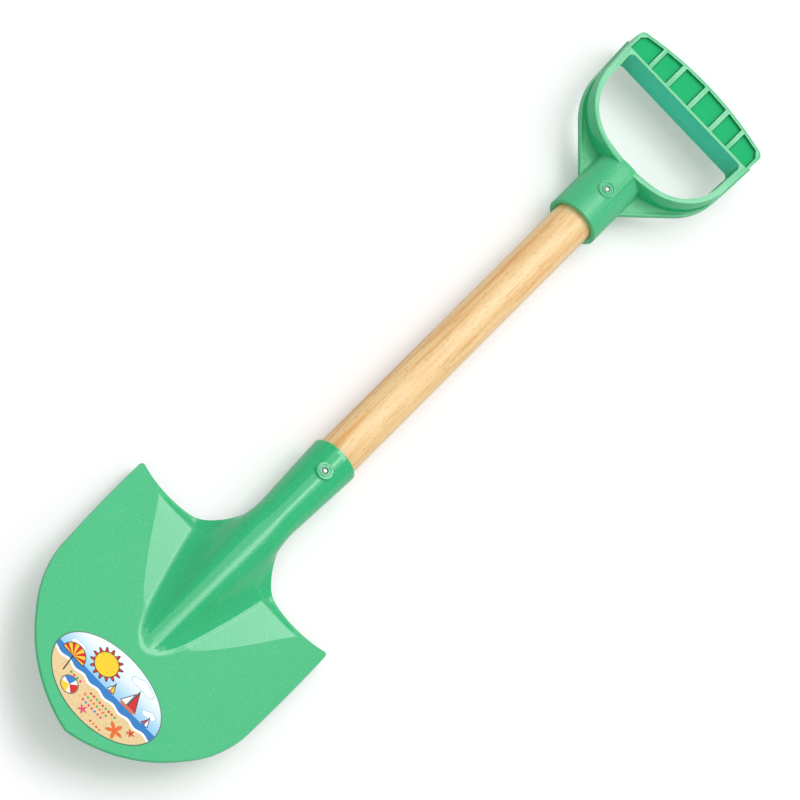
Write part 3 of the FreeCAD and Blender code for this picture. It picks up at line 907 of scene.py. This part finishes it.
# Painted shade on the pockets' walls and in their inner corners: darker above a level, at the
# grip's foot, at its sides and beside its ribs.
POCKET_WALL_LEVEL = 13.75
POCKET_FOOT_X = 262.3
POCKET_HALF_WIDTH = 48.8
RIB_MIDDLES = (0.0, 18.1, 32.8)
RIB_HALF = 1.45
CORNER_SHADE = 0.55
# How soft the edges of these are.
FINE_EDGE = 0.1
CORNER_EDGE = 0.15
PLAIN_EDGE = 0.3
GUSSET_EDGE = 0.5
BASE_EDGE = 4.0
# How much the colour of each counts, and what it adds to the roughness. The base is the
# socket with the gussets.
SHADE_SHARE = 0.75
# The front rims get a painted highlight.
RIM_HIGHLIGHT_SHARE = 0.15
BASE_LIGHT_SHARE = 0.14
POCKET_ROUGHNESS = 0.7
BASE_ROUGHNESS = 0.16


def handle_plastic():
    paint, tint = plastic("handle_plastic", HANDLE_ROUGHNESS)
    x, y, z = paint.axes()
    side = abs(y)
    rim_highlight = z.within(*RIM_LEVELS, CORNER_EDGE) * x.above(RIM_FROM_X, PLAIN_EDGE)
    pocket = z.within(*POCKET_LEVELS, FINE_EDGE) * x.above(POCKET_FROM_X, PLAIN_EDGE)
    wall = x.within(*WALL_PLACES, PLAIN_EDGE) * z.below(WALL_TOP_LEVEL, PLAIN_EDGE)
    # Painted bounce light: the grip's inner wall is tinted bluer and paler.
    tint = paint.mix(wall * side.below(WALL_HALF_WIDTH, PLAIN_EDGE), tint, PAINTED_BOUNCE_TEAL)
    # Painted shade: the recessed pocket floors are darker than the plastic.
    tint = paint.mix(pocket, tint, SHADED_POCKET_GREEN)
    shade = z.above(POCKET_WALL_LEVEL, FINE_EDGE)
    shade = shade.most(x.below(POCKET_FOOT_X + CORNER_SHADE, CORNER_EDGE))
    shade = shade.most(side.above(POCKET_HALF_WIDTH - CORNER_SHADE, CORNER_EDGE))
    for middle in RIB_MIDDLES:
        reach = abs(side - middle)
        shade = shade.most(reach.below(RIB_HALF + CORNER_SHADE, CORNER_EDGE))
    # Painted shade on the pockets' walls and inner corners.
    tint = paint.mix(shade * pocket * SHADE_SHARE, tint, PAINTED_SHADE_GREEN)
    # Painted highlight on the front rims.
    tint = paint.mix(rim_highlight * RIM_HIGHLIGHT_SHARE, tint, PAINTED_HIGHLIGHT_GREEN)
    # Painted light: the base is painted paler, and it is made duller than the rims.
    tube = x.below(RIM_FROM_X, BASE_EDGE)
    gusset = z.below(GUSSET_TOP_LEVEL, GUSSET_EDGE) * x.below(GUSSET_END_X, BASE_EDGE)
    base = (tube + gusset).least(1.0)
    tint = paint.mix(base * BASE_LIGHT_SHARE, tint, PAINTED_HIGHLIGHT_GREEN)
    paint.set(Base_Color=tint)
    roughness = HANDLE_ROUGHNESS + pocket * POCKET_ROUGHNESS + base * BASE_ROUGHNESS
    paint.set(Roughness=roughness)
    return paint.material


# The stick's tones, and noises that are drawn out along its grain.
WOOD_LIGHT = colour(244, 209, 152)
WOOD_WARM = colour(232, 178, 110)
WOOD_DARK = colour(190, 134, 78)
VARNISH_IOR = 1.5
WARP = {"scale": 9.0, "stretch": (1, 6, 6)}
WARP_SHARE = 0.4
BANDS = {"scale": 150.0, "detail": 3.0, "roughness": 0.55, "stretch": (0.05, 1, 1)}
BAND_EDGE = (0.7, 0.12)
GRAIN = {"scale": 900.0, "roughness": 0.6, "stretch": (0.05, 1, 1)}
GRAIN_EDGE = (0.62, 0.1)
GRAIN_SHARE = 0.4
FLECKS = {"scale": 1100.0, "detail": 1.0, "stretch": (0.3, 1, 1)}
FLECK_EDGE = (0.68, 0.05)
FLECK_SHARE = 0.5
WOOD_ROUGHNESS = 0.26
GRAIN_ROUGHNESS = 0.12
GRAIN_BUMP = 0.00008


def wood():
    """Sanded pale stick: long soft grain, short dark flecks, clear varnish."""
    paint = Paint("varnished_wood", IOR=VARNISH_IOR)
    warp = paint.noise(**WARP)
    bands = paint.noise(**BANDS)
    fine = paint.noise(**GRAIN)
    flecks = paint.noise(**FLECKS)
    tone = paint.mix((bands + warp * WARP_SHARE).above(*BAND_EDGE), WOOD_LIGHT, WOOD_WARM)
    tone = paint.mix(fine.above(*GRAIN_EDGE) * GRAIN_SHARE, tone, WOOD_DARK)
    tone = paint.mix(flecks.above(*FLECK_EDGE) * FLECK_SHARE, tone, WOOD_DARK)
    paint.set(Base_Color=tone)
    paint.set(Roughness=WOOD_ROUGHNESS + fine * GRAIN_ROUGHNESS)
    paint.bump(fine + flecks, GRAIN_BUMP, BUMP_STRENGTH)
    return paint.material


# The nails' steel, brighter where it is worn.
STEEL_DARK = colour(140, 142, 145)
STEEL_BRIGHT = colour(190, 192, 195)
WEAR = {"scale": 1800.0}
STEEL_ROUGHNESS = 0.2
WEAR_ROUGHNESS = 0.15


def steel():
    paint = Paint("nail_steel", Metallic=1.0)
    worn = paint.noise(**WEAR)
    paint.set(Base_Color=paint.mix(worn, STEEL_DARK, STEEL_BRIGHT))
    paint.set(Roughness=STEEL_ROUGHNESS + worn * WEAR_ROUGHNESS)
    return paint.material


# The label's picture, in millimetres from its middle: right is across, up is towards the
# handle.
INK = colour(28, 30, 34)
WHITE = colour(250, 250, 248)
RED = colour(214, 8, 16)
YELLOW = colour(250, 206, 20)
BLUE = colour(30, 124, 196)
SKY = colour(150, 206, 238)
SKY_PALE = colour(238, 246, 250)
SAND = colour(232, 204, 150)
SAND_DARK = colour(206, 164, 104)
ORANGE = colour(230, 104, 24)
PINK = colour(226, 44, 112)
LEAF = colour(70, 168, 84)
BORDER_INK = colour(84, 112, 98)
VINYL_ROUGHNESS = 0.45
VINYL_IOR = 1.4
PRINT_SOFT = 0.16
OUTLINE = 0.55
BORDER = 0.4
BORDER_SOFT_SHARE = 0.004

# Sky, which pales upwards, and clouds as across, up and radius.
SKY_FADE = (9, 9)
CLOUD_FLATNESS = 1.5
CLOUDS = (
    (14.0, 19.0, 4.2),
    (18.5, 17.8, 3.4),
    (9.5, 18.0, 3.2),
    (28.0, 8.0, 3.0),
    (25.0, 7.2, 2.2),
    (-29.0, 6.5, 3.0),
    (-25.5, 7.4, 2.6),
)

# The sun, and how far the outline and the ink of its rays reach, as shares of its radius.
SUN = (-9.0, 11.5, 7.2)
SUN_RAYS = 14
RAY_DEPTH_SHARE = 0.16
RAY_OUTLINE_SHARE = 1.45
RAY_SHARE = 1.32

# Sea, surf and sand: levels of the horizon and the shore, and the waves along it.
HORIZON = 0.5
SHORE = -5.5
FOAM = 1.6
WAVE_TURN = 0.55
WAVE_HEIGHT = 0.7
SAND_GRAINS = {"scale": 700.0}
SAND_GRAIN_EDGE = (0.62, 0.06)
SAND_GRAIN_SHARE = 0.6

# Parts of a boat of size 1 with its deck over the water: place across and over the deck,
# how far it reaches to the left and right, and its height.
DECK = 2.0
MAIN_SAIL = (0, 0, 0, 5.2, 11.0)
JIB_SAIL = (-1.2, 0, 3.8, 0, 8.0)
HULL = (0, -0.4, 5.6, 6.6, -5.0)
BOATS = (
    # Across, the water's level, size, and the inks of the two sails and the hull.
    (15.0, HORIZON, 1.0, RED, WHITE, ORANGE),
    (2.5, HORIZON, 0.42, YELLOW, WHITE, RED),
    (28.5, HORIZON, 0.4, WHITE, PINK, BLUE),
)

# What lies and stands on the sand: starfish and a ball, as across, up and radius, pebbles
# and a parasol.
STARFISH_ARMS = 5
STARFISH_DEPTH_SHARE = 0.34
STARFISH = (
    (19.0, -15.0, 5.2, ORANGE),
    (-1.5, -20.0, 2.6, PINK),
    (26.5, -9.0, 2.3, RED),
)
BALL = (-16.0, -15.0, 5.0)
BALL_INKS = (RED, BLUE, YELLOW)
BALL_PANEL_EDGE = (0.72, 0.04)
PEBBLES = (
    # Across and up of the first, how many, how far apart, radius and colours.
    (-4.0, -9.0, 9, 2.3, 0.75, (RED, RED, LEAF)),
    (-6.0, -12.2, 8, 2.3, 0.75, (ORANGE, LEAF, ORANGE)),
    (-5.0, -15.4, 7, 2.3, 0.75, (PINK, BLUE, PINK)),
    (-20.0, -8.6, 4, 2.4, 0.8, (LEAF, PINK)),
    (6.0, -21.6, 4, 2.3, 0.7, (RED, ORANGE)),
)
# Across and up of the pole's foot, the pole's height, the canopy's radius and its inks.
PARASOL = (-25.5, -11.5, 11.0, 7.4, RED, YELLOW)
PARASOL_BANDS = 10
POLE_LEAN = 0.12
POLE_HALF = 0.4


class Picture:
    """The label's printed picture, painted shape over shape."""

    def __init__(self, paint):
        x, y = paint.axes()[:2]
        self.paint = paint
        self.across = 0 - y
        self.up = x - LABEL_X
        self.tone = SKY

    def lay(self, mask, ink):
        self.tone = self.paint.mix(mask, self.tone, ink)

    def distance(self, across, up, flatness=1):
        wide = self.across - across
        high = (self.up - up) * flatness
        return (wide * wide + high * high) ** 0.5

    def angle(self, across, up):
        return (self.up - up).maths("ARCTAN2", self.across - across)

    def disc(self, across, up, radius, ink, flatness=1):
        self.lay(self.distance(across, up, flatness).below(radius, PRINT_SOFT), ink)

    def outlined_disc(self, across, up, radius, ink):
        self.disc(across, up, radius + OUTLINE, INK)
        self.disc(across, up, radius, ink)

    def star(self, across, up, radius, arms, depth, ink):
        """A star whose arms swell by a share of its radius."""
        wave = (self.angle(across, up) * arms).maths("COSINE")
        reach = self.distance(across, up) - wave * (radius * depth)
        self.lay(reach.below(radius * (1 - depth), PRINT_SOFT), ink)

    def slanted(self, across, up, tilt):
        """How far a point lies to the right of a line that leans by a tilt."""
        return self.across - across + (self.up - up) * tilt

    def wedge(self, across, foot, left, right, height, ink, grow=0):
        """A triangle that reaches to both sides of its top, upside down if its height
        is negative."""
        first = self.slanted(across - left - grow, foot, -left / height)
        last = self.slanted(across + right + grow, foot, right / height)
        base = self.up - foot if height > 0 else foot - self.up
        sides = first.above(0, PRINT_SOFT) * last.below(0, PRINT_SOFT)
        self.lay(sides * base.above(-grow / 2, PRINT_SOFT), ink)

    def boat(self, across, water, size, sail, jib, hull):
        """Two sails over a hull."""

        def part(shape, ink, grow=0):
            aside, over, left, right, height = (measure * size for measure in shape)
            foot = water + DECK * size + over
            self.wedge(across + aside, foot, left, right, height, ink, grow)

        part(MAIN_SAIL, INK, OUTLINE)
        part(JIB_SAIL, INK, OUTLINE)
        part(MAIN_SAIL, sail)
        part(JIB_SAIL, jib)
        part(HULL, hull)

    def parasol(self, across, foot, height, radius, ink, stripe):
        """Half a disc with stripes, on a pole that stands in the sand."""
        top = foot + height
        pole = abs(self.slanted(across, top, POLE_LEAN)).below(POLE_HALF, PRINT_SOFT)
        pole *= self.up.above(foot, PRINT_SOFT) * self.up.below(top, PRINT_SOFT)
        self.lay(pole, INK)
        reach = self.distance(across, top)
        upper = self.up.above(top - OUTLINE, PRINT_SOFT)
        self.lay(reach.below(radius + OUTLINE, PRINT_SOFT) * upper, INK)
        canopy = reach.below(radius, PRINT_SOFT) * self.up.above(top, PRINT_SOFT)
        self.lay(canopy, ink)
        band = (self.angle(across, top) * PARASOL_BANDS).maths("COSINE")
        self.lay(canopy * band.above(0, PRINT_SOFT), stripe)

    def ball(self, across, up, radius):
        """A white ball with a panel in each of its inks."""
        self.outlined_disc(across, up, radius, WHITE)
        inside = self.distance(across, up).below(radius, PRINT_SOFT)
        for number, ink in enumerate(BALL_INKS):
            turn = number * math.tau / len(BALL_INKS)
            panel = (self.angle(across, up) - turn).maths("COSINE")
            self.lay(inside * panel.above(*BALL_PANEL_EDGE), ink)

    def pebbles(self, across, up, count, step, radius, inks):
        for number in range(count):
            self.disc(across + step * number, up, radius, inks[number % len(inks)])

    def sky(self):
        self.lay(self.up.above(*SKY_FADE), SKY_PALE)
        for grow, ink in ((OUTLINE, SKY), (0, WHITE)):
            for across, up, radius in CLOUDS:
                self.disc(across, up, radius + grow, ink, CLOUD_FLATNESS)
        across, up, radius = SUN
        self.star(across, up, radius * RAY_OUTLINE_SHARE, SUN_RAYS, RAY_DEPTH_SHARE, INK)
        self.star(across, up, radius * RAY_SHARE, SUN_RAYS, RAY_DEPTH_SHARE, RED)
        self.outlined_disc(across, up, radius, YELLOW)

    def sea(self):
        for boat in BOATS:
            self.boat(*boat)
        self.lay(self.up.below(HORIZON, PRINT_SOFT), BLUE)

    def beach(self):
        surf = self.up + (self.across * WAVE_TURN).maths("SINE") * WAVE_HEIGHT
        self.lay(surf.below(SHORE + FOAM, PRINT_SOFT), WHITE)
        self.lay(surf.below(SHORE, PRINT_SOFT), SAND)
        grains = self.paint.noise(**SAND_GRAINS).above(*SAND_GRAIN_EDGE)
        self.lay(surf.below(SHORE, PRINT_SOFT) * grains * SAND_GRAIN_SHARE, SAND_DARK)
        for across, up, radius, ink in STARFISH:
            for grow, shown in ((OUTLINE, SAND_DARK), (0, ink)):
                reach = radius + grow
                self.star(across, up, reach, STARFISH_ARMS, STARFISH_DEPTH_SHARE, shown)
        self.ball(*BALL)
        for row in PEBBLES:
            self.pebbles(*row)
        self.parasol(*PARASOL)

    def border(self):
        wide = self.across / LABEL_HALF_WIDTH
        high = self.up / LABEL_HALF_LENGTH
        reach = (wide * wide + high * high) ** 0.5
        inner = 1 - BORDER / LABEL_HALF_LENGTH
        self.lay(reach.above(inner, BORDER_SOFT_SHARE), BORDER_INK)


def printed_label():
    """Seaside picture: sun, clouds, sails, surf, and what lies and stands on the sand."""
    paint = Paint("printed_vinyl", Roughness=VINYL_ROUGHNESS, IOR=VINYL_IOR)
    picture = Picture(paint)
    picture.sky()
    picture.sea()
    picture.beach()
    picture.border()
    paint.set(Base_Color=picture.tone)
    return paint.material


def dress(piece, material):
    piece.data.materials.clear()
    piece.data.materials.append(material)


nail_steel = steel()
dress(nodes["shaft"], wood())
for piece, node, slot, material in (
    (blade, "blade", "blade", blade_plastic()),
    (handle, "d_handle", "d_handle", handle_plastic()),
    (label, "sticker", "sticker", printed_label()),
    (blade_nail, "blade_nail", "nail", nail_steel),
    (handle_nail, "handle_nail", "nail", nail_steel),
):
    dress(piece, material)
    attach(piece, "root")
    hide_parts(node)

# Floor and backdrop. The floor glows a little to the camera alone.
FLOOR_SIZE = 14.0
FLOOR_GREY = (0.74, 0.74, 0.74, 1)
FLOOR_ROUGHNESS = 0.9
FLOOR_GLOW = 0.26
WORLD_STRENGTH = 0.52
LIGHTLESS = (0, 0, 0, 1)
BRIGHT = (1, 1, 1, 1)
bpy.ops.mesh.primitive_plane_add(size=FLOOR_SIZE, location=(0, 0, 0))
floor = bpy.context.object
floor.name = "floor"
ground = Paint(
    "pale_floor",
    Roughness=FLOOR_ROUGHNESS,
    Base_Color=FLOOR_GREY,
    Emission_Strength=FLOOR_GLOW,
)
seen = ground.node("ShaderNodeLightPath", {}, output="Is Camera Ray")
ground.set(Emission_Color=ground.mix(seen, LIGHTLESS, BRIGHT))
dress(floor, ground.material)

world = bpy.data.worlds.new("studio")
bpy.context.scene.world = world
world.use_nodes = True
backdrop = world.node_tree.nodes["Background"]
backdrop.inputs["Color"].default_value = BRIGHT
backdrop.inputs["Strength"].default_value = WORLD_STRENGTH

# Lamps: from what angle to what angle each reaches, towards the handle and to the right
# as seen from the blade, and its brightness. The fills leave no reflection.
LAMP_TARGET_X = -150.0
LAMP_DISTANCE = 6.0
BOXES = (
    ("overhead_box", (3, 57), (-25, 31), 1.05),
    ("tube_box", (10.3, 26), (5, 19), 3.6),
    ("handle_box", (26, 35.5), (-12, 32), 3.6),
    ("wing_box", (35.5, 39.5), (-10, 16), 2.75),
    ("crest_box", (4, 10.3), (0, 25), 1.8),
)
FILLS = (
    ("right_fill", (5, 35), (45, 75), 1.2),
    ("tip_fill", (-75, -45), (-12, 18), 1.2),
)


def softbox(name, toward_handle, rightward, brightness):
    """A lamp with square corners that shines on the blade from between two pairs of angles."""
    lift = math.radians(sum(toward_handle) / 2)
    side = math.radians(sum(rightward) / 2)
    height, width = (
        2 * LAMP_DISTANCE * math.tan(math.radians(high - low) / 2)
        for low, high in (toward_handle, rightward)
    )
    level = math.cos(lift)
    direction = Vector((math.sin(lift), -level * math.sin(side), level * math.cos(side)))
    lamp = bpy.data.lights.new(name, "AREA")
    lamp.shape = "RECTANGLE"
    lamp.size = height
    lamp.size_y = width
    lamp.energy = brightness * math.pi * height * width
    holder = bpy.data.objects.new(name, lamp)
    bpy.context.scene.collection.objects.link(holder)
    holder.visible_camera = False
    holder.location = placed(LAMP_TARGET_X, 0, 0) + direction * LAMP_DISTANCE
    across = Vector((0, 1, 0))
    along = across.cross(direction).normalized()
    holder.rotation_euler = Matrix((along, across, direction)).transposed().to_euler()
    return holder


for box in BOXES:
    softbox(*box)
for fill in FILLS:
    softbox(*fill).visible_glossy = False

# Camera: over the shovel's front, set off towards the point and a little to one side.
CAMERA_TILT = math.radians(27)
CAMERA_TURN = math.radians(-2.8)
CAMERA_DISTANCE = 3.118
FOCAL_PIXELS = 5500
HALF_IMAGE_PIXELS = 400
SENSOR_WIDTH = 36.0
SIDE_STEP = 2.4
level = math.cos(CAMERA_TILT)
away = Vector(
    (-math.sin(CAMERA_TILT), -level * math.sin(CAMERA_TURN), level * math.cos(CAMERA_TURN))
)
sideways = Vector((0, -math.cos(CAMERA_TURN), -math.sin(CAMERA_TURN)))
along = away.cross(sideways).normalized()
if along.x < 0:
    along.negate()
camera_data = bpy.data.cameras.new("camera")
camera_data.sensor_width = SENSOR_WIDTH
camera_data.lens = SENSOR_WIDTH / 2 / (HALF_IMAGE_PIXELS / FOCAL_PIXELS)
camera = bpy.data.objects.new("camera", camera_data)
bpy.context.scene.collection.objects.link(camera)
bpy.context.scene.camera = camera
# The shovel lies across the picture, with its handle up and to the right.
right = (along + sideways).normalized()
up = (along - sideways).normalized()
camera.rotation_euler = Matrix((right, up, away)).transposed().to_euler()
camera.location = placed(0, 0, 0) + sideways * SIDE_STEP * MM + away * CAMERA_DISTANCE

bpy.context.scene.view_settings.view_transform = "Standard"
